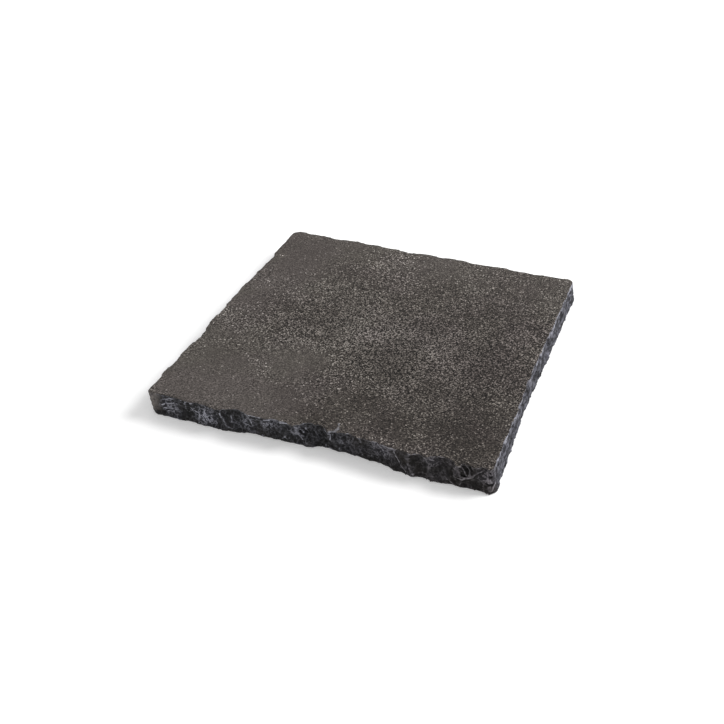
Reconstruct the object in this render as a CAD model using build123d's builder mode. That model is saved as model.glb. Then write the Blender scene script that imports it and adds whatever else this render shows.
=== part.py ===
from build123d import *
import os

# A square natural stone paver: one slab with a flat face, a flat bed and hand-pitched edges.
# The stone was split to thickness and chopped to size with a pitching tool. Its four sides are a
# run of rough facets that wander a few millimetres in and out, with a shell-shaped scar for each
# blow. The scars meet in ridges and bite scallops out of the arris, which is the edge of the face.
# Lengths are in millimetres. The origin is at the middle of the bed, and +Z points to the face.

# Nominal size that the stone was chopped to, and its calibrated thickness
length = 300.0
width = 300.0
thickness = 23.0

# Radius knocked off each upright corner, at the face and at the bed
corner_radii = {
    "front_left": (2.5, 10.0),
    "front_right": (4.0, 6.5),
    "back_right": (5.0, 7.0),
    "back_left": (9.5, 11.0),
}
corner_facets = 3

# The chopped facets, going round the stone anticlockwise. Each row is where one facet ends and the
# next starts: how far along its side, as a share from one corner to the next, and how far the
# stone stands out from its nominal line there, at the face and at the bed
facets = {
    "front": (
        (0.047, 3.0, 4.3),
        (0.107, 4.6, 4.7),
        (0.167, 5.2, 3.9),
        (0.220, 5.3, 3.7),
        (0.313, 5.4, 0.9),
        (0.360, 5.0, -0.9),
        (0.413, 4.2, -0.9),
        (0.473, 3.4, -0.7),
        (0.513, 3.2, -2.1),
        (0.547, 3.3, -5.1),
        (0.587, 2.8, -4.1),
        (0.633, 2.7, -3.9),
        (0.673, 3.1, -1.8),
        (0.720, 2.6, 0.9),
        (0.767, 4.0, 4.7),
        (0.793, 4.3, 5.5),
        (0.823, 5.0, 4.3),
        (0.860, 4.0, 5.5),
        (0.913, 2.4, 4.3),
        (0.957, 1.6, 3.9),
    ),
    "right": (
        (0.047, -0.8, 4.1),
        (0.107, -0.4, 4.3),
        (0.173, -0.2, 3.7),
        (0.240, -0.1, 2.3),
        (0.307, -0.5, 0.7),
        (0.380, -1.2, -0.5),
        (0.453, -1.2, 1.3),
        (0.533, -0.8, 1.7),
        (0.613, -0.5, 2.7),
        (0.693, -0.2, 3.7),
        (0.773, 0.0, 4.5),
        (0.860, 0.4, 5.3),
        (0.940, 0.8, 5.1),
    ),
    "back": (
        (0.047, 0.2, 2.5),
        (0.120, -1.5, 1.9),
        (0.173, 0.3, 1.7),
        (0.220, 0.6, 2.7),
        (0.300, -0.8, 3.1),
        (0.353, -0.2, 2.1),
        (0.407, 1.5, 0.9),
        (0.507, 1.5, 0.7),
        (0.553, -1.2, 2.1),
        (0.610, 1.4, 2.9),
        (0.640, 0.1, 3.3),
        (0.693, 2.4, 3.5),
        (0.747, 4.3, 2.5),
        (0.800, 2.8, 1.9),
        (0.853, 3.1, 1.7),
        (0.933, 4.0, 2.1),
    ),
    "left": (
        (0.060, 1.2, 3.1),
        (0.120, 0.3, 2.3),
        (0.173, 1.3, 1.7),
        (0.250, 0.0, 1.7),
        (0.333, 2.2, 2.3),
        (0.420, 1.6, 3.1),
        (0.500, 1.6, 3.5),
        (0.597, 2.3, 2.7),
        (0.667, 0.6, 1.9),
        (0.720, -0.4, 1.7),
        (0.777, 1.2, 2.5),
        (0.847, 1.4, 3.3),
        (0.913, 1.6, 2.7),
        (0.960, 1.4, 1.7),
    ),
}

# One scar for each blow of the tool, and for each bite that broke out of the bed: how far along its
# side it lies, how wide it is, how deep it bites into the side, and how far below the face it is
# deepest
scars = {
    "front": (
        (0.060, 34.0, 2.0, 8.0),
        (0.130, 30.0, 2.4, 16.0),
        (0.165, 24.0, 2.0, 4.0),
        (0.210, 22.0, 2.4, 15.0),
        (0.272, 27.0, 6.4, 6.5),
        (0.325, 28.0, 2.6, 18.0),
        (0.345, 20.0, 2.2, 5.0),
        (0.388, 24.0, 2.4, 13.0),
        (0.420, 15.0, 2.8, 5.0),
        (0.448, 12.0, 2.4, 7.0),
        (0.455, 20.0, 2.6, 17.0),
        (0.467, 11.0, 3.4, 13.0),
        (0.500, 31.0, 7.8, 6.5),
        (0.535, 18.0, 2.8, 20.0),
        (0.562, 12.0, 3.2, 4.0),
        (0.594, 20.0, 5.0, 5.5),
        (0.610, 26.0, 2.4, 17.0),
        (0.645, 20.0, 3.0, 7.0),
        (0.680, 26.0, 2.2, 17.0),
        (0.690, 20.0, 2.6, 5.0),
        (0.735, 26.0, 2.4, 13.0),
        (0.750, 18.0, 1.8, 3.0),
        (0.803, 23.0, 5.2, 9.0),
        (0.815, 14.0, 2.6, 20.5),
        (0.868, 28.0, 6.6, 4.5),
        (0.895, 28.0, 2.0, 18.0),
        (0.931, 14.0, 4.2, 5.0),
        (0.960, 24.0, 2.0, 15.0),
        (0.978, 13.0, 3.0, 4.0),
    ),
    "right": (
        (0.080, 26.0, 1.6, 7.0),
        (0.130, 30.0, 1.6, 16.0),
        (0.190, 24.0, 1.6, 5.0),
        (0.255, 30.0, 2.0, 13.0),
        (0.330, 26.0, 1.6, 6.0),
        (0.400, 34.0, 2.0, 15.0),
        (0.465, 22.0, 1.8, 4.0),
        (0.535, 34.0, 1.8, 12.0),
        (0.615, 24.0, 1.8, 5.0),
        (0.690, 30.0, 1.8, 15.0),
        (0.760, 26.0, 1.6, 6.0),
        (0.830, 28.0, 1.8, 14.0),
        (0.900, 26.0, 1.6, 6.0),
        (0.955, 22.0, 1.6, 14.0),
    ),
    "back": (
        (0.050, 26.0, 2.0, 7.0),
        (0.115, 28.0, 2.4, 13.0),
        (0.180, 30.0, 2.6, 7.0),
        (0.245, 28.0, 2.4, 17.0),
        (0.310, 30.0, 2.6, 8.0),
        (0.385, 28.0, 2.4, 14.0),
        (0.450, 22.0, 2.0, 5.0),
        (0.520, 30.0, 2.2, 17.0),
        (0.565, 28.0, 2.8, 8.0),
        (0.640, 26.0, 2.4, 10.0),
        (0.690, 24.0, 2.2, 18.0),
        (0.720, 28.0, 2.4, 6.0),
        (0.785, 30.0, 2.6, 16.0),
        (0.840, 28.0, 2.0, 6.0),
        (0.925, 30.0, 2.2, 12.0),
    ),
    "left": (
        (0.070, 30.0, 2.0, 8.0),
        (0.140, 28.0, 2.4, 15.0),
        (0.205, 26.0, 2.2, 6.0),
        (0.275, 28.0, 2.4, 16.0),
        (0.340, 30.0, 2.4, 7.0),
        (0.420, 28.0, 2.2, 12.0),
        (0.490, 30.0, 2.8, 17.0),
        (0.550, 28.0, 2.2, 6.0),
        (0.630, 26.0, 2.4, 14.0),
        (0.708, 30.0, 2.8, 8.0),
        (0.785, 28.0, 2.4, 15.0),
        (0.850, 26.0, 2.0, 5.0),
        (0.900, 26.0, 2.2, 16.0),
        (0.955, 22.0, 1.8, 8.0),
    ),
}

# The four upright corners, anticlockwise, and the side that runs from each to the next, with the
# way it faces
corners = {
    "front_left": Vector(-length / 2, -width / 2),
    "front_right": Vector(length / 2, -width / 2),
    "back_right": Vector(length / 2, width / 2),
    "back_left": Vector(-length / 2, width / 2),
}
sides = {
    "front": Vector(0, -1),
    "right": Vector(1, 0),
    "back": Vector(0, 1),
    "left": Vector(-1, 0),
}
face_level, bed_level = 0, 1
heights = (thickness, 0)


def nominal_point(side, share):
    """The point on a side's nominal line at that share of the way from corner to corner."""
    at = list(sides).index(side)
    ends = list(corners.values())
    start, end = ends[at], ends[(at + 1) % len(ends)]
    return start + (end - start) * share


def stands_out(side, share, level):
    """How far a side stands out from its nominal line, between the two rows nearest to it."""
    rows = facets[side]
    before = max([row for row in rows if row[0] <= share], default=rows[0])
    after = min([row for row in rows if row[0] > share], default=rows[-1])
    gap = after[0] - before[0]
    mix = (share - before[0]) / gap if gap > 0 else 0
    return before[1 + level] * (1 - mix) + after[1 + level] * mix


def chopped_outline(level):
    """The corners of the chopped outline, at the face or at the bed, anticlockwise."""
    points = []
    lift = Vector(0, 0, heights[level])
    names = list(sides)
    for at, (side, outward) in enumerate(sides.items()):
        before = names[at - 1]
        last, first = facets[before][-1], facets[side][0]
        corner_name = list(corners)[at]
        radius = corner_radii[corner_name][level]
        corner = (
            corners[corner_name] + sides[before] * (last[1 + level] - radius)
            + outward * (first[1 + level] - radius)
        )
        for i in range(corner_facets + 1):
            turned = sides[before].rotate(Axis.Z, i * 90 / corner_facets)
            points.append(corner + turned * radius + lift)
        for row in facets[side]:
            points.append(nominal_point(side, row[0]) + outward * row[1 + level] + lift)
    return points


def shell_scar(side, along, span, bite, below_face):
    """Knocks a shell-shaped scar out of a side: a ball, centred so far outside the stone that it
    bites `bite` deep and `span` wide into the side, where the side is `below_face` down."""
    ball_radius = (span**2 / 4 + bite**2) / (2 * bite)
    share_down = below_face / thickness
    out = (
        stands_out(side, along, face_level) * (1 - share_down)
        + stands_out(side, along, bed_level) * share_down
    )
    centre = nominal_point(side, along) + sides[side] * (out + ball_radius - bite)
    with Locations((centre.X, centre.Y, thickness - below_face)):
        Sphere(ball_radius, mode=Mode.SUBTRACT)


with BuildPart() as paver:
    face_outline = chopped_outline(face_level)
    bed_outline = chopped_outline(bed_level)
    skin = [Face(Wire.make_polygon(face_outline)), Face(Wire.make_polygon(bed_outline))]
    for i in range(len(face_outline)):
        face_start, face_end = face_outline[i - 1], face_outline[i]
        bed_start, bed_end = bed_outline[i - 1], bed_outline[i]
        skin.append(Face(Wire.make_polygon((bed_start, bed_end, face_end))))
        skin.append(Face(Wire.make_polygon((bed_start, face_end, face_start))))
    add(Solid(Shell(skin)))

    for side in sides:
        for along, span, bite, below_face in scars[side]:
            shell_scar(side, along, span, bite, below_face)

paver.part.label = "paver"
os.makedirs("parts", exist_ok=True)
export_step(paver.part, "parts/paver.step")
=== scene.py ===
import math

import bmesh
import bpy
from mathutils import Matrix, Vector, noise
from mathutils.bvhtree import BVHTree


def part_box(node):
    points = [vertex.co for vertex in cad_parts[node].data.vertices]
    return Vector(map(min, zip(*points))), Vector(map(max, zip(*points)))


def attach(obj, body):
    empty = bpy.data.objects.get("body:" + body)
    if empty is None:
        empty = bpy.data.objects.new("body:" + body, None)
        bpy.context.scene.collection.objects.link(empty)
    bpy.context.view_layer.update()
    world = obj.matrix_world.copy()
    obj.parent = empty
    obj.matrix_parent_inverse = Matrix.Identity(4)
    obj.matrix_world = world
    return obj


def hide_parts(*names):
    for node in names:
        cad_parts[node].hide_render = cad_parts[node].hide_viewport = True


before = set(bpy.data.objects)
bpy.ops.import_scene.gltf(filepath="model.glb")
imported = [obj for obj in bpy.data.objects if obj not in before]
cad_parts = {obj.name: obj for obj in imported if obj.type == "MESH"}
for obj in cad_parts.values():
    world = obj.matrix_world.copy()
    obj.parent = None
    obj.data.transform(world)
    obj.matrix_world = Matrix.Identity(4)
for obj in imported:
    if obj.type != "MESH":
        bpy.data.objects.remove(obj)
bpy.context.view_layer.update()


# The stone paver
# One piece of dark, fine-grained limestone, split to thickness and chopped to size. Its outline and
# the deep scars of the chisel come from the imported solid. What is added is what the blows and the
# wear left inside them: small flakes, an arris rubbed round, and a face that is worn and pitted.
mm = 0.001
slab_low, slab_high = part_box("paver")
face_height = slab_high.z
mesh_step = 1.5 * mm
triangle_budget = 194_000

slab_shape = bmesh.new()
slab_shape.from_mesh(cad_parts["paver"].data)
bmesh.ops.remove_doubles(slab_shape, verts=slab_shape.verts, dist=0.001 * mm)
bmesh.ops.recalc_face_normals(slab_shape, faces=slab_shape.faces)
slab_surface = BVHTree.FromBMesh(slab_shape)
slab_mesh = bpy.data.meshes.new("stone")
slab_shape.to_mesh(slab_mesh)
slab_shape.free()
stone = bpy.data.objects.new("stone", slab_mesh)
bpy.context.scene.collection.objects.link(stone)


def settle(piece):
    """Applies the piece's modifiers, so that its mesh is what they leave."""
    graph = bpy.context.evaluated_depsgraph_get()
    finished = bpy.data.meshes.new_from_object(piece.evaluated_get(graph))
    piece.modifiers.clear()
    piece.data = finished


even_mesh = stone.modifiers.new("even mesh", "REMESH")
even_mesh.mode = "VOXEL"
even_mesh.voxel_size = mesh_step
settle(stone)

# The even mesh is made finer on the sides, and drawn back on to the solid's own facets and scars
bm = bmesh.new()
bm.from_mesh(stone.data)
bm.normal_update()
upright = [e for e in bm.edges if any(abs(f.normal.z) < 0.85 for f in e.link_faces)]
bmesh.ops.subdivide_edges(bm, edges=upright, cuts=1, use_grid_fill=True)
bm.normal_update()
for v in bm.verts:
    v.co = slab_surface.find_nearest(v.co)[0]
bm.normal_update()

# The noise draws its directions from this seed, so that each run breaks the stone the same way
noise.seed_set(7)


def ease(low, high, value):
    """0 below low, 1 above high, and smooth between."""
    share = min(1.0, max(0.0, (value - low) / (high - low)))
    return share * share * (3 - 2 * share)


def relief(point, across, high):
    """A rise and fall about that many millimetres across, and up to about that many high."""
    return noise.noise(point / (across * mm)) * high * mm


def wander(point, across, far):
    """A way to stray, which turns about every so many millimetres, and up to about that many far."""
    return noise.noise_vector(point / (across * mm)) * far * mm


def flaked(point, across, tilt, hollow):
    """How deep the stone is flaked at a point, from about -0.5 to 0.5. Each cell of a cloud of
    points is one blow with a strength and a lean of its own, and the deepest wins, which leaves
    ridges."""
    strayed = point / across + noise.noise_vector(point / (across * 0.6)) * 0.16
    squares, middles = noise.voronoi(strayed, distance_metric="DISTANCE_SQUARED")
    deepest = -1.0
    for square, middle in zip(squares, middles):
        lean = noise.noise_vector(middle * 7.3) * tilt
        depth = noise.noise(middle * 5.3) + lean.dot(strayed - middle) - hollow * square
        deepest = max(deepest, depth)
    return deepest


# Three sizes of flake: how wide each is, how much it leans and how hollow it is, and then how many
# millimetres deep
big_flakes, big_depth = (17 * mm, 1.1, 1.2), 2.2
small_flakes, small_depth = (6.5 * mm, 1.4, 1.5), 1.6
chips, chip_depth = (2.8 * mm, 1.2, 1.2), 0.5
elsewhere = Vector((0.3, 0.1, 0.7))
stands_out_most = 0.7 * mm

# Marks on the front side, in millimetres: from x, z to x, z, how wide, how deep, and how pale, or
# below 0, how dark the notch is painted with shade
front_marks = (
    (-11, 16.7, -6.8, 12.1, 1.8, 2.0, -1.0), (-13, 14.2, -8.5, 9.3, 1.6, 1.6, -1.0),
    (-12, 15.4, -7.7, 10.8, 0.6, 0, 0.8), (-8.1, 17.2, -5.2, 10.2, 0.8, -0.4, 1.0),
    (-16, 20, -10, 16, 0.8, 0, 0.8), (-14.4, 11.4, -10.2, 5.8, 0.8, 0, 0.8),
    (-20, 17.5, -19, 16, 2.2, 1.2, 0.0), (65, 22, 70, 20, 0.7, 0, 0.9),
    (70, 20, 75, 8, 0.7, 0, 1.0), (75, 8, 81, 2.6, 0.7, 0, 0.8),
    (121, 10.4, 127, 9.3, 0.8, -0.6, 0.7), (127, 9.3, 143, 20, 0.8, -0.7, 0.9),
    (-137, 8.8, -123, 10.8, 0.8, -0.3, 0.8), (-132, 14.3, -123, 16, 0.8, -0.3, 0.8),
    (-133, 6.2, -127, 7.2, 0.8, 0, 0.8), (-137, 17.4, -126, 20.5, 0.9, 0, 0.8),
    (-138, 11.5, -136, 12.5, 1.1, 0, 1.0), (-110, 16, -102, 12, 0.8, 0, 0.9),
    (-102, 12, -103.5, 2, 0.8, -0.4, 0.8), (-57, 21.5, -54, 10, 0.9, -0.4, 0.9),
    (-63, 12.6, -57, 9, 0.7, 0, 0.8), (-74, 14, -73, 9, 0.8, 0, 0.7),
    (-42, 20.5, -33, 20, 0.9, 0, 0.9), (-33, 20, -20, 22.5, 0.8, 0, 0.8),
    (10, 22.5, 16, 20, 0.8, 0, 0.9), (16, 20, 16, 11.5, 0.9, -0.4, 0.8),
    (95, 22.5, 103, 18.5, 0.9, -0.4, 0.9), (124, 21, 139, 21.8, 0.7, 0, 0.6),
    (112, 18.5, 121, 17.3, 0.7, 0, 0.6), (19, 21, 20, 12, 2.0, 1.0, 0.0),
    (122, 14.5, 134, 13.5, 3.2, -1.9, 0.0), (-97, 17, -93, 5, 0.8, -0.4, 0.8),
    (-99, 15, -90, 11, 0.7, 0, 0.7), (113, 7, 121, 1, 0.8, 0, 0.7),
    (146, 20, 148, 10, 0.9, 0, 0.9), (146.8, 8.9, 150.9, 7.6, 1.4, 1.4, -1.0),
    (149, 15, 149.3, 14.4, 1.9, 1.4, -1.0), (150.7, 4.2, 152.8, 8.5, 0.9, -0.3, 0.8),
    (142.3, 22, 148.6, 18.7, 1.3, 1.0, -1.0), (147.3, 17, 147.8, 14, 0.8, 0, 0.8),
    (123.5, 21.5, 131, 12.5, 1.5, -1.9, 0.0), (129, 21.5, 135, 14, 1.2, -1.3, 0.4),
)

# Notches under the right side's arris, in the same way but from y, z to y, z; their dark is painted
# shade
right_marks = (
    (12, 19.5, 6, 19, 1.8, 1.6, -1.0), (-9, 19.5, -16, 17.5, 2.0, 1.8, -1.0),
    (-29, 20, -46, 18.5, 2.4, 2.4, -1.0), (-67, 20, -71, 18, 1.8, 1.5, -1.0),
    (-116, 20, -123, 18.5, 2.2, 2.0, -1.0), (-130, 18, -134, 15, 1.8, 1.5, -0.9),
    (-95, 18.5, -99, 16.5, 1.5, 1.0, -0.9), (44, 19, 38, 18, 1.8, 1.6, -0.9),
    (33, 20, 29, 18, 1.6, 1.2, -0.8), (110, 19.5, 102, 18, 1.8, 1.6, -0.9),
    (94, 19.5, 88, 18, 1.6, 1.4, -0.9),
)

# A point this near to the front or the right of the box is on that side
side_depth = 14 * mm


def mark_depth(point):
    """How deep the marks cut into the side at a point, or how far they stand out."""
    depth = 0.0
    if point.y < slab_low.y + side_depth:
        marks, flat = front_marks, Vector((point.x, point.z))
    elif point.x > slab_high.x - side_depth:
        marks, flat = right_marks, Vector((point.y, point.z))
    else:
        return depth
    spot = (flat + wander(point, 5, 0.5).xy) / mm
    for along, up, end_along, end_up, wide, deep, _ in marks:
        start, run = Vector((along, up)), Vector((end_along - along, end_up - up))
        share = min(1.0, max(0.0, (spot - start).dot(run) / run.length_squared))
        away = (spot - start - run * share).length / wide
        if deep and away < 3:
            depth += deep * mm * math.exp(-away * away)
    return depth


def at_right_side(point, normal):
    """1 on the right side away from the near corner, which was split cleaner and straighter."""
    return ease(0.5, 0.8, normal.x) * ease(-155 * mm, -135 * mm, point.y)


def at_left_corner(point):
    """1 at the front side's left end, which weathered with the face and is painted lighter there as
    a highlight, and 0 away from it.
    """
    in_from_front = point.y - slab_low.y
    return (1 - ease(-150 * mm, -136 * mm, point.x)) * (1 - ease(4 * mm, 13 * mm, in_from_front))


def in_calm_hollow(point):
    """1 in the middle of a smooth hollow near the front side's right end, and 0 away from it."""
    if point.y >= slab_low.y + side_depth:
        return 0.0
    away_squared = (point.x - 128 * mm) ** 2 + (point.z - 17 * mm) ** 2
    return math.exp(-away_squared / (8 * mm) ** 2)


# The right side is brought out towards a straight line across its hollows. It is measured in rows
# along y, and a line runs from one row to another, at most so many rows away on each side
row_step = 3 * mm
rows_spanned = 9


def hollows(lowest, highest):
    """For each row, how far the right side lies behind a straight line, between two heights."""
    reach = {}
    for v in bm.verts:
        if v.co.x > 120 * mm and lowest < v.co.z < highest:
            row = round(v.co.y / row_step)
            reach[row] = max(reach.get(row, 0.0), v.co.x)
    behind = {}
    for row in reach:
        straight = reach[row]
        for before in range(row - rows_spanned, row):
            for after in range(row + 1, row + rows_spanned + 1):
                if before in reach and after in reach:
                    share = (row - before) / (after - before)
                    line = reach[before] + (reach[after] - reach[before]) * share
                    straight = max(straight, line)
        behind[row] = straight - reach[row]
    return behind


hollows_below = hollows(-1 * mm, 14 * mm)
hollows_above = hollows(21 * mm, 24 * mm)


def filled(point):
    """How far the stone by the right side is brought out, so that the side runs straighter."""
    row = math.floor(point.y / row_step)
    share = point.y / row_step - row
    up = ease(12 * mm, 21 * mm, point.z)
    behind = 0.0
    for table, amount in ((hollows_below, 0.85 * (1 - up)), (hollows_above, 0.7 * up)):
        behind += amount * (table.get(row, 0.0) * (1 - share) + table.get(row + 1, 0.0) * share)
    return behind * ease(125 * mm, 145 * mm, point.x) * ease(-155 * mm, -140 * mm, point.y)


# Every point is moved: the sides are flaked and marked, and the face and the bed sink a little and
# roll, so that none stands out of the solid's box
face_sinks = 0.4 * mm
bed_rises = 0.3 * mm
for v in bm.verts:
    facing_up = ease(0.6, 0.92, v.normal.z)
    facing_down = ease(0.6, 0.92, -v.normal.z)
    broken = 1 - facing_up - facing_down
    p = v.co.copy()
    shift = Vector()
    if broken > 0.01:
        split_cleaner = at_right_side(p, v.normal)
        roughness = (1 - 0.75 * split_cleaner) * (1 - 0.5 * in_calm_hollow(p))
        near_arris = 1 - ease(0, 7 * mm, face_height - p.z)
        inner = ease(0, 4 * mm, p.z) * (1 - near_arris)
        stray = wander(p, 11, 1.6) + wander(p, 4, 0.6)
        stray -= v.normal * stray.dot(v.normal)
        stray.z *= inner
        q = p.copy()
        q.z *= 0.7
        depth = flaked(q, *big_flakes) * big_depth * mm * (0.45 + 0.55 * inner) * roughness
        small = flaked(q + elsewhere, *small_flakes) * small_depth * mm
        depth += small * roughness * (1 + 0.8 * split_cleaner)
        fine = flaked(p, *chips) * chip_depth * mm + relief(p, 1.4, 0.12)
        depth = max(depth, -stands_out_most * (1 - 0.8 * at_left_corner(p)))
        shift = -v.normal * (depth + fine * (1 - 0.3 * split_cleaner) + mark_depth(p)) * broken
        shift.z *= 0.4
        shift += stray * broken * roughness
    shift.x += filled(p)
    if facing_up > 0.01:
        swell = relief(p, 55, 0.35) + relief(p, 17, 0.12)
        shift.z -= facing_up * max(0.0, face_sinks - swell - relief(p, 2.4, 0.13))
    if facing_down > 0.01:
        swell = relief(p + Vector((9, 9, 9)), 35, 0.4) + relief(p, 9, 0.2)
        shift.z += facing_down * max(0.0, bed_rises + swell)
    v.co = p + shift
    for axis in range(3):
        v.co[axis] = min(slab_high[axis], max(slab_low[axis], v.co[axis]))
bm.normal_update()


def wear(reaches_down, times_rubbed, where):
    """Rubs down the face's arris: each point there moves towards the middle of its neighbours."""
    rubbed = [
        v for v in bm.verts
        if v.co.z > face_height - reaches_down and 0.1 < v.normal.z < 0.97 and where(v.co)
    ]
    for _ in range(times_rubbed):
        bmesh.ops.smooth_vert(
            bm, verts=rubbed, factor=0.5, use_axis_x=True, use_axis_y=True, use_axis_z=True
        )


# The arris is blunted all round, and rubbed well round at the left and at the back
wear(2.5 * mm, 1, lambda co: True)
wear(4.5 * mm, 6, lambda co: co.x < -80 * mm or co.y > 100 * mm)
bm.to_mesh(stone.data)
bm.free()

# The mesh is thinned to its budget, most on the bed, less on the face and least on the sides
thinned_first = stone.vertex_groups.new(name="thinned first")
for v in stone.data.vertices:
    share = 1.0 if v.normal.z < -0.8 else 0.15 if v.normal.z > 0.9 else 0.0
    thinned_first.add([v.index], share, "REPLACE")
triangles = sum(len(f.vertices) - 2 for f in stone.data.polygons)
thinned = stone.modifiers.new("thinned", "DECIMATE")
thinned.ratio = min(1.0, triangle_budget / triangles)
thinned.vertex_group = "thinned first"
thinned.vertex_group_factor = 1.0
settle(stone)
stone.vertex_groups.clear()
for v in stone.data.vertices:
    v.co.z = max(slab_low.z, v.co.z)
stone.data.polygons.foreach_set("use_smooth", [True] * len(stone.data.polygons))
stone.data.set_sharp_from_angle(angle=math.radians(34))

# What the colour goes by. The blows bruised the stone pale where it stands proud, and shade is
# painted where it lies hollow; the face was walked smooth in places, and pale grains lie thicker in
# others. Each place is x, y, how far it reaches, all in millimetres, and how much
smooth_places = (
    (-117, -115, 45, 1.0), (-103, -74, 45, 0.4), (-48, -138, 42, 0.75), (-50, -70, 32, 0.8),
    (-14, -106, 32, 0.35), (-20, -90, 30, 0.3), (-128, 110, 55, 0.8), (-70, 140, 50, 0.6),
    (60, 148, 45, 0.3), (130, 130, 50, 0.3), (-145, 20, 35, 0.6), (18, -120, 40, 0.4),
    (52, -124, 42, 0.3), (132, -110, 35, 0.35), (20, 135, 40, 0.5), (-140, -50, 25, 0.4),
)
coarse_places = (
    (-95, -25, 28, 0.4), (-60, -36, 28, 0.5), (-15, -5, 55, 0.75), (28, -20, 60, 0.95),
    (90, -20, 60, 0.5), (25, -92, 45, 0.2), (116, -79, 50, 0.2), (-42, 113, 30, 0.4),
    (120, 30, 40, 0.35),
)
pale_places = (
    (-33, 98, 14, 0.7), (-42, 112, 18, 0.6), (-20, 128, 12, 0.6), (-10, 36, 14, 0.5),
    (0, -14, 20, 0.5), (61, -24, 18, 0.6), (79, -35, 14, 0.5), (130, 33, 18, 0.8),
    (140, 9, 16, 0.6), (15, 52, 18, 0.4), (-143, 94, 6, 1.0),
)
dark_places = (
    (115, -20, 85, 0.95), (116, -115, 60, 1.03), (128, -135, 40, 1.0), (110, -75, 45, 0.92),
    (35, -45, 62, 0.9), (72, -70, 40, 0.96), (30, -105, 38, 0.88), (5, -138, 34, 0.8),
    (60, -125, 48, 0.85), (-32, -110, 26, 0.36), (-10, -85, 28, 0.52), (-8, -45, 28, 0.72),
    (90, 50, 60, 0.84), (118, 40, 60, 0.9), (50, 25, 50, 0.86), (20, 45, 60, 0.78),
    (35, 75, 40, 0.76), (-60, 8, 50, 0.74), (-95, 10, 32, 0.66), (-38, -12, 30, 0.7),
    (-40, 80, 55, 0.64), (-35, 35, 35, 0.66), (100, 105, 50, 0.6), (-92, -22, 30, 0.6),
    (-125, 110, 45, 0.26), (-112, -66, 34, 0.26),
)

# Places on the front side that are veiled pale, by x and z instead
veiled_places = (
    (-95, 11, 9, 1.0), (-38, 19, 8, 0.7), (-12, 13, 7, 0.7), (-1, 14, 6, 0.5), (59, 18, 9, 0.9),
    (103, 17, 7, 0.8), (148, 16, 7, 1.0), (-132, 12, 8, 0.6), (28, 13, 8, 0.5), (-58, 14, 7, 0.5),
)
plain_coarseness = 0.43


def gathered(places, spot):
    """The strongest of the places' soft spots at a point."""
    most = 0.0
    for first, second, reach, amount in places:
        away = (Vector((first, second)) * mm - spot.xy).length / (reach * mm)
        most = max(most, amount * math.exp(-away * away))
    return most


bm = bmesh.new()
bm.from_mesh(stone.data)
bm.normal_update()
names = ("broken", "proud", "coarse", "pale", "dark", "bed", "veil", "corner", "slate")
layers = {name: bm.verts.layers.float.new(name) for name in names}
proud = {}
for v in bm.verts:
    lean = [(v.co - e.other_vert(v).co).normalized().dot(v.normal) for e in v.link_edges]
    proud[v] = sum(lean) / len(lean)
for v in bm.verts:
    around = [proud[e.other_vert(v)] for e in v.link_edges]
    v[layers["proud"]] = 0.5 * proud[v] + 0.5 * sum(around) / len(around)
    drift = wander(v.co, 23, 9)
    p = v.co + drift
    faces_flat = abs(v.normal.z) if v.co.z > face_height - 2 * mm else -v.normal.z
    v[layers["broken"]] = 1 - ease(0.45, 0.8, faces_flat)
    v[layers["bed"]] = ease(0.4, 0.8, -v.normal.z)
    coarseness = plain_coarseness
    coarseness += gathered(coarse_places, p) * 0.6
    coarseness -= gathered(smooth_places, p) * 0.8
    v[layers["coarse"]] = max(0.0, min(1.0, coarseness))
    v[layers["pale"]] = gathered(pale_places, v.co + drift * 0.7)
    v[layers["dark"]] = gathered(dark_places, p)
    at_front = 1 - ease(6 * mm, 14 * mm, v.co.y - slab_low.y)
    seen_from_front = Vector((v.co.x + drift.x * 0.4, v.co.z + drift.z * 0.3, 0))
    v[layers["veil"]] = gathered(veiled_places, seen_from_front) * at_front
    v[layers["slate"]] = at_right_side(v.co, v.normal)
    v[layers["corner"]] = at_left_corner(v.co + drift * 0.3) * ease(2 * mm, 7 * mm, v.co.z)
bm.to_mesh(stone.data)
bm.free()

# The stone's look: a weathered face of warm grey with salt-and-pepper grains, and fresh breaks
# of blue-black with pale blue bruises along the ridges, with painted shade in their hollows and
# notches and a painted highlight at the front side's left end
stone_look = bpy.data.materials.new("stone")
stone_look.use_nodes = True
tree = stone_look.node_tree


def node(kind, inputs=None, **settings):
    """Adds a node to the tree in hand. Each input is a value or the socket that feeds it."""
    made = tree.nodes.new(kind)
    for name, value in settings.items():
        setattr(made, name, value)
    for name, value in (inputs or {}).items():
        if isinstance(value, bpy.types.NodeSocket):
            tree.links.new(value, made.inputs[name])
        else:
            made.inputs[name].default_value = value
    return made


def sum_of(operation, first, second=0.5, third=0.5, clamp=False):
    """A sum on numbers or sockets."""
    inputs = {0: first, 1: second, 2: third}
    return node("ShaderNodeMath", inputs, operation=operation, use_clamp=clamp).outputs[0]


def times(first, second):
    """One pattern where another lets it show."""
    return sum_of("MULTIPLY", first, second)


def stronger(first, second):
    """The stronger of two patterns."""
    return sum_of("MAXIMUM", first, second)


def times_plus(pattern, factor, extra):
    """A pattern times a factor, and something more."""
    return sum_of("MULTIPLY_ADD", pattern, factor, extra)


def less_half(pattern):
    """A pattern that runs either side of 0, from one that runs either side of a half."""
    return sum_of("SUBTRACT", pattern, 0.5)


def point_sum(operation, first, second, third=(0, 0, 0)):
    """A sum on points or directions."""
    return node("ShaderNodeVectorMath", {0: first, 1: second, 2: third}, operation=operation)


def between(value, low, high, new_low=0.0, new_high=1.0):
    """Stretches low to high out over new_low to new_high, and stops there."""
    made = node("ShaderNodeMapRange", {0: value, 1: low, 2: high, 3: new_low, 4: new_high})
    return made.outputs[0]


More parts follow.
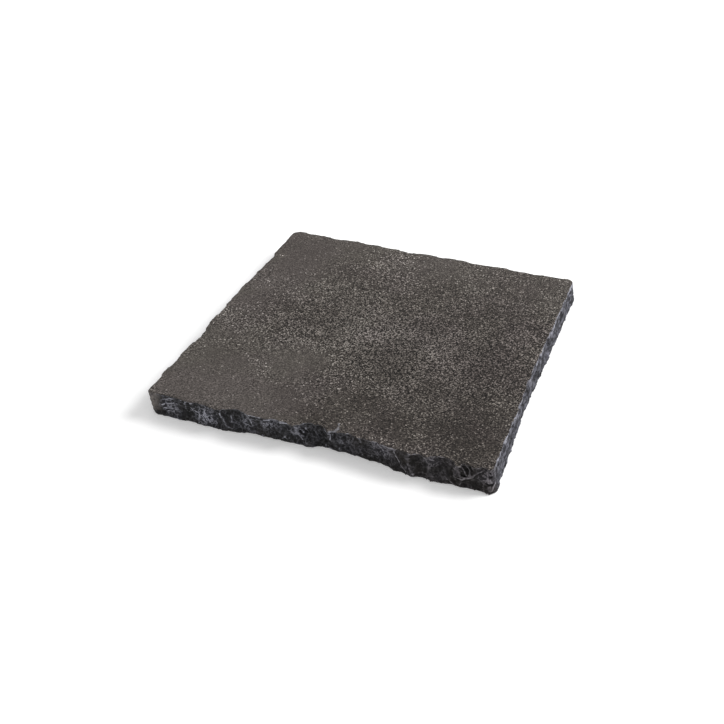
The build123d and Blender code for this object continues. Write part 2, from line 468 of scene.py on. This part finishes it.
def blended(factor, first, second, how="MIX"):
    """Two colours mixed."""
    made = node("ShaderNodeMix", data_type="RGBA", blend_type=how, clamp_factor=True)
    for at, value in ((0, factor), (6, first), (7, second)):
        socket = made.inputs[at]
        if isinstance(value, bpy.types.NodeSocket):
            tree.links.new(value, socket)
        else:
            socket.default_value = value if isinstance(value, float) else (*value, 1)
    return made.outputs[2]


def stained(colour, stain):
    """A colour darkened by another that lies over it."""
    return blended(1.0, colour, stain, "MULTIPLY")


def tinted(brightness, colour):
    """A colour made lighter or darker by a number."""
    grey = node("ShaderNodeCombineColor", {0: brightness, 1: brightness, 2: brightness})
    return stained(colour, grey.outputs[0])


def attribute(name):
    """What the mesh's points hold under that name."""
    return node("ShaderNodeAttribute", attribute_name=name).outputs["Fac"]


place = node("ShaderNodeTexCoord").outputs["Object"]
place_parts = node("ShaderNodeSeparateXYZ", {0: place}).outputs


def cloud(size, detail=2.0, roughness=0.5, shifted=(0, 0, 0), squashed=(1, 1, 1)):
    """A cloudy pattern whose lumps are about that size."""
    moved = node("ShaderNodeMapping", {"Vector": place, "Location": shifted, "Scale": squashed})
    made = node("ShaderNodeTexNoise", {
        "Vector": moved.outputs[0], "Scale": 0.5 / size, "Detail": detail, "Roughness": roughness,
    })
    return made.outputs["Fac"]


def mosaic(size, shifted=(0, 0, 0)):
    """Grains about that size, each with a shade of its own from 0 to 1."""
    moved = node("ShaderNodeMapping", {"Vector": place, "Location": shifted})
    made = node("ShaderNodeTexVoronoi", {"Vector": moved.outputs[0], "Scale": 1 / size})
    return node("ShaderNodeSeparateColor", {0: made.outputs["Color"]}).outputs[0]


def shades(value, *stops):
    """A colour for each value, from a list of positions and colours."""
    made = node("ShaderNodeValToRGB", {"Fac": value})
    elements = made.color_ramp.elements
    while len(elements) < len(stops):
        elements.new(0.5)
    for element, (position, colour) in zip(elements, stops):
        element.position = position
        element.color = (*colour, 1)
    return made.outputs["Color"]


broken, proud_edge, coarse = attribute("broken"), attribute("proud"), attribute("coarse")
pale, dark, bed, veil = attribute("pale"), attribute("dark"), attribute("bed"), attribute("veil")
corner, slate = attribute("corner"), attribute("slate")

# The face: grains about a millimetre across, more strongly marked where it is coarse
soft_grain = cloud(0.8 * mm, 1.0)
crisp_grain = mosaic(0.85 * mm)
contrast_varies = between(cloud(6 * mm, 1.0, shifted=(0.6, 0.3, 0)), 0.35, 0.65, 0.85, 1.2)
contrast = times(between(coarse, 0.0, 1.0, 0.37, 1.72), contrast_varies)
grains = sum_of("ADD", times(less_half(soft_grain), 1.3), times(less_half(crisp_grain), 0.85))
face_colour = shades(
    times_plus(grains, contrast, 0.5),
    (0.0, (0.006, 0.0053, 0.005)),
    (0.25, (0.021, 0.0185, 0.017)),
    (0.5, (0.063, 0.056, 0.0515)),
    (0.72, (0.125, 0.113, 0.104)),
    (0.88, (0.26, 0.24, 0.222)),
    (1.0, (0.42, 0.39, 0.365)),
)

# Pale flecks, single grains that lie thicker where the face is coarse or pale
fleck_colour = (0.62, 0.585, 0.55)
fleck_share = times_plus(coarse, 0.055, times(pale, 0.06))
fleck_grains = mosaic(1.05 * mm, shifted=(0.4, 0.2, 0.1))
flecks = between(sum_of("ADD", fleck_share, fleck_grains), 0.992, 1.008)
face_colour = blended(times(flecks, 0.85), face_colour, fleck_colour)

# How light the face is from place to place, and how it leans to brown where it is dark
tone = times_plus(cloud(30 * mm, 2.0), 0.16, 1.08)
tone = times_plus(pale, 0.18, tone)
tone = times(tone, between(dark, 0.0, 1.0, 1.04, 0.38))
tone = times(tone, between(coarse, 0.05, 1.0, 1.03, 0.61))
face_colour = tinted(tone, face_colour)
hue_varies = between(cloud(24 * mm, 1.0, shifted=(0.3, 0.7, 0)), 0.38, 0.62)
face_colour = stained(face_colour, blended(hue_varies, (1.02, 0.995, 1.015), (1.0, 1.0, 0.98)))
face_colour = stained(face_colour, blended(dark, (1.0, 1.0, 0.99), (1.0, 0.945, 0.92)))

# The broken sides: blue-black, browner in patches and veiled pale in others
brown_colour = (0.027, 0.0235, 0.020)
veil_colour = (0.082, 0.083, 0.101)
side_grain = cloud(1.6 * mm, 3.0, 0.6, shifted=(0.1, 0.5, 0.3))
side_colour = shades(
    side_grain,
    (0.32, (0.006, 0.0058, 0.0056)),
    (0.55, (0.020, 0.0195, 0.0195)),
    (0.75, (0.075, 0.073, 0.078)),
)
brown_patches = between(cloud(14 * mm, 2.0, shifted=(0.5, 0.1, 0.2)), 0.5, 0.65)
side_colour = blended(times(brown_patches, 0.5), side_colour, brown_colour)
patchy = between(cloud(9 * mm, 2.0, shifted=(0.2, 0.9, 0.4)), 0.48, 0.62)
veiled = stronger(times(patchy, 0.4), veil)
side_colour = blended(times(veiled, 0.55), side_colour, veil_colour)

# The right side split along the stone's bed, and is streaked like slate
streaks = cloud(1.9 * mm, 4.0, 0.7, shifted=(0.3, 0.6, 0.2), squashed=(1, 0.6, 1))
slate_colour = shades(
    streaks,
    (0.38, (0.010, 0.010, 0.012)),
    (0.5, (0.043, 0.043, 0.051)),
    (0.62, (0.15, 0.15, 0.178)),
)
side_colour = blended(slate, side_colour, slate_colour)

# Bruises: along the ridges, in fine threads, and on the right side just under the face
ridge_varies = between(cloud(5 * mm, 2.0, shifted=(0.8, 0.4, 0.6)), 0.45, 0.6, 0.1, 0.9)
ridge = times(between(proud_edge, 0.05, 0.17), ridge_varies)
bruised = times(ridge, between(side_grain, 0.35, 0.6, 0.25, 1.0))
thread_cloud = cloud(3.2 * mm, 3.0, 0.65, shifted=(0.7, 0.1, 0.9))
threads = between(sum_of("ABSOLUTE", less_half(thread_cloud)), 0.005, 0.045, 1.0, 0.0)
thread_share = times_plus(stronger(times(patchy, 0.18), veil), 0.9, 0.05)
bruised = stronger(bruised, times(threads, thread_share))
bruised = times(bruised, between(slate, 0.0, 1.0, 1.0, 0.5))
under_face = between(place_parts["Z"], face_height - 4.8 * mm, face_height - 3.2 * mm)
rubbed_varies = between(cloud(1.6 * mm, 2.0, shifted=(0.9, 0.2, 0.7)), 0.42, 0.52, 0.0, 0.9)
bruised = stronger(bruised, times(times(under_face, rubbed_varies), slate))

# The marks are drawn with a slightly unsteady hand
wobble_size = 6 * mm
wobble_far = 2.4 * mm
wobble = node("ShaderNodeTexNoise", {"Vector": place, "Scale": 1 / wobble_size, "Detail": 1.0})
wobble = point_sum("SUBTRACT", wobble.outputs["Color"], (0.5, 0.5, 0.5)).outputs[0]
wobbled_place = point_sum("MULTIPLY_ADD", wobble, (wobble_far,) * 3, place).outputs[0]


def drawn(marks, first, second, kind):
    """Where the marks of one kind, 1 for pale bruises and -1 for the painted shade in notches, are
    drawn. First and second are the directions their two numbers run in."""
    flat_spot = point_sum("MULTIPLY", wobbled_place, first + second).outputs[0]
    drawing = 0.0
    for a, b, end_a, end_b, wide, _, paleness in marks:
        if paleness * kind > 0:
            begins = (first * a + second * b) * mm
            run = (first * (end_a - a) + second * (end_b - b)) * mm
            out = point_sum("SUBTRACT", flat_spot, begins).outputs[0]
            along = point_sum("DOT_PRODUCT", out, run / run.length_squared).outputs[1]
            along = sum_of("MULTIPLY", along, 1.0, clamp=True)
            run_there = node("ShaderNodeVectorMath", {0: run, "Scale": along}, operation="SCALE")
            away = point_sum("DISTANCE", out, run_there.outputs[0]).outputs[1]
            near = between(away, 0.25 * wide * mm, 0.75 * wide * mm, abs(paleness), 0.0)
            drawing = stronger(near, drawing)
    return drawing


# Pale chips by the face's front arris, as the marks above but from x, y to x, y
face_marks = (
    (15.4, -150.5, 19.3, -148.5, 2.0, 0, 0.6), (19.3, -148.5, 20.4, -145, 2.2, 0, 0.55),
    (20.4, -145, 18.5, -137.8, 1.6, 0, 0.5),
)
along_x, along_y, up_z = Vector((1, 0, 0)), Vector((0, 1, 0)), Vector((0, 0, 1))
at_front = between(place_parts["Y"], slab_low.y + 9 * mm, slab_low.y + 12 * mm, 1.0, 0.0)
at_right = between(place_parts["X"], slab_high.x - 12 * mm, slab_high.x - 9 * mm, 0.0, 1.0)
pale_line = times(drawn(front_marks, along_x, up_z, 1), at_front)
# The dark marks are painted shade, drawn in the notches on the front and the right side
painted_notch_shade = times(drawn(front_marks, along_x, up_z, -1), at_front)
painted_notch_shade = stronger(painted_notch_shade, times(drawn(right_marks, along_y, up_z, -1), at_right))
beads = between(cloud(1.5 * mm, 1.0, shifted=(0.15, 0.35, 0.55)), 0.38, 0.56, 0.25, 1.0)
bruised = stronger(bruised, times(pale_line, beads))
chip_colour = (0.30, 0.30, 0.33)
chip_line = drawn(face_marks, along_x, along_y, 1)
face_colour = blended(times(chip_line, beads), face_colour, chip_colour)

# The bruises fade and the break turns warmer towards the right end, and shade is painted into its
# hollows and notches
bruise_colour = (0.40, 0.40, 0.455)
bruised = times(bruised, between(place_parts["X"], -40 * mm, 100 * mm, 1.3, 0.72))
side_colour = blended(bruised, side_colour, bruise_colour)
untinted = (1.0, 1.0, 1.0)
warm_end = blended(between(place_parts["X"], 10 * mm, 110 * mm), untinted, (0.92, 0.85, 0.80))
side_colour = stained(side_colour, blended(slate, warm_end, untinted))
# Painted shade: darker where the break lies hollow
side_colour = tinted(between(proud_edge, -0.015, -0.08, 1.0, 0.45), side_colour)
# Painted shade: the notches are painted nearly black
side_colour = tinted(times_plus(painted_notch_shade, -0.94, 1.0), side_colour)

# The front side's left end is weathered like the face, and painted lighter than that as a
# highlight, as though it were rounded over towards the light
weathered_highlit_colour = (0.19, 0.17, 0.157)
weathered_highlit_share = times(corner, between(side_grain, 0.36, 0.52, 0.4, 0.95))
weathered_highlit_grain = tinted(between(soft_grain, 0.2, 0.8, 0.7, 1.3), weathered_highlit_colour)
side_colour = blended(weathered_highlit_share, side_colour, weathered_highlit_grain)

# Face and sides meet in a ragged line, and the bed is plain and dusty
bed_colour = (0.075, 0.069, 0.065)
ragged = times(less_half(cloud(1.8 * mm, 2.0)), 0.9)
on_side = between(sum_of("ADD", broken, ragged), 0.42, 0.58)
colour = blended(on_side, face_colour, side_colour)
colour = blended(times(bed, 0.6), colour, bed_colour)
grain_relief = sum_of("ADD", soft_grain, side_grain)
bump = node("ShaderNodeBump", {"Height": grain_relief, "Strength": 0.5, "Distance": 0.35 * mm})
shader = tree.nodes["Principled BSDF"]
tree.links.new(colour, shader.inputs["Base Color"])
tree.links.new(bump.outputs["Normal"], shader.inputs["Normal"])
shader.inputs["Roughness"].default_value = 0.82
shader.inputs["Specular IOR Level"].default_value = 0.15
stone.data.materials.clear()
stone.data.materials.append(stone_look)
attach(stone, "root")
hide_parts("paver")


# The floor
# A pale matt sheet that the paver lies on, wide enough that its edge never shows. To the camera
# alone it is a little lighter than the light makes it, so that the ground reads as white.
floor_reach = 6.0
floor_shape = bmesh.new()
bmesh.ops.create_grid(floor_shape, x_segments=1, y_segments=1, size=floor_reach)
floor_mesh = bpy.data.meshes.new("floor")
floor_shape.to_mesh(floor_mesh)
floor_shape.free()
floor = bpy.data.objects.new("floor", floor_mesh)
bpy.context.scene.collection.objects.link(floor)
floor_look = bpy.data.materials.new("floor")
floor_look.use_nodes = True
tree = floor_look.node_tree
floor_shader = tree.nodes["Principled BSDF"]
floor_shader.inputs["Base Color"].default_value = (0.93, 0.93, 0.93, 1)
floor_shader.inputs["Roughness"].default_value = 0.9
floor_shader.inputs["Emission Color"].default_value = (1, 1, 1, 1)

# How much lighter the floor looks near the paver, and how much far from it
near, far = 0.6, 3.0
lift_near, lift_far = 0.22, 0.75
spread = node("ShaderNodeTexCoord").outputs["Object"]
away = point_sum("LENGTH", spread, (0, 0, 0)).outputs["Value"]
eye = node("ShaderNodeLightPath").outputs["Is Camera Ray"]
lift = times(eye, between(away, near, far, lift_near, lift_far))
tree.links.new(lift, floor_shader.inputs["Emission Strength"])
floor_mesh.materials.append(floor_look)


# The light
# A white room with one broad lamp high behind the right. The room lights the stone at about half
# strength, and is full white only where it is seen or mirrored.
room_light = 0.55
room = bpy.data.worlds.new("room")
room.use_nodes = True
tree = room.node_tree
background = tree.nodes["Background"]
background.inputs["Color"].default_value = (1, 1, 1, 1)
rays = node("ShaderNodeLightPath").outputs
seen = stronger(rays["Is Camera Ray"], rays["Is Glossy Ray"])
seen = stronger(seen, rays["Is Transmission Ray"])
tree.links.new(between(seen, 0.0, 1.0, room_light, 1.0), background.inputs["Strength"])
bpy.context.scene.world = room
lamp = bpy.data.lights.new("softbox", "AREA")
lamp.shape = "SQUARE"
lamp.size = 1.6
lamp.energy = 97
softbox = bpy.data.objects.new("softbox", lamp)
softbox.location = (2.0, 1.5, 2.1)
softbox.rotation_euler = (-softbox.location).to_track_quat("-Z", "Y").to_euler()
bpy.context.scene.collection.objects.link(softbox)


# The camera
# A 50 mm lens, a little under a metre away, looking down past the nearest corner.
azimuth = math.radians(21.7)
elevation = math.radians(35.33)
roll = math.radians(-1.06)
distance = 0.9233
looked_at = Vector((-0.0067, -0.0216, 0))
towards_camera = Vector((
    math.sin(azimuth) * math.cos(elevation),
    -math.cos(azimuth) * math.cos(elevation),
    math.sin(elevation),
))
lens = bpy.data.cameras.new("camera")
lens.lens = 50
camera = bpy.data.objects.new("camera", lens)
camera.location = looked_at + towards_camera * distance
level = (-towards_camera).to_track_quat("-Z", "Y").to_matrix()
camera.rotation_euler = (level @ Matrix.Rotation(roll, 3, "Z")).to_euler()
bpy.context.scene.collection.objects.link(camera)
bpy.context.scene.camera = camera
bpy.context.scene.view_settings.view_transform = "Standard"
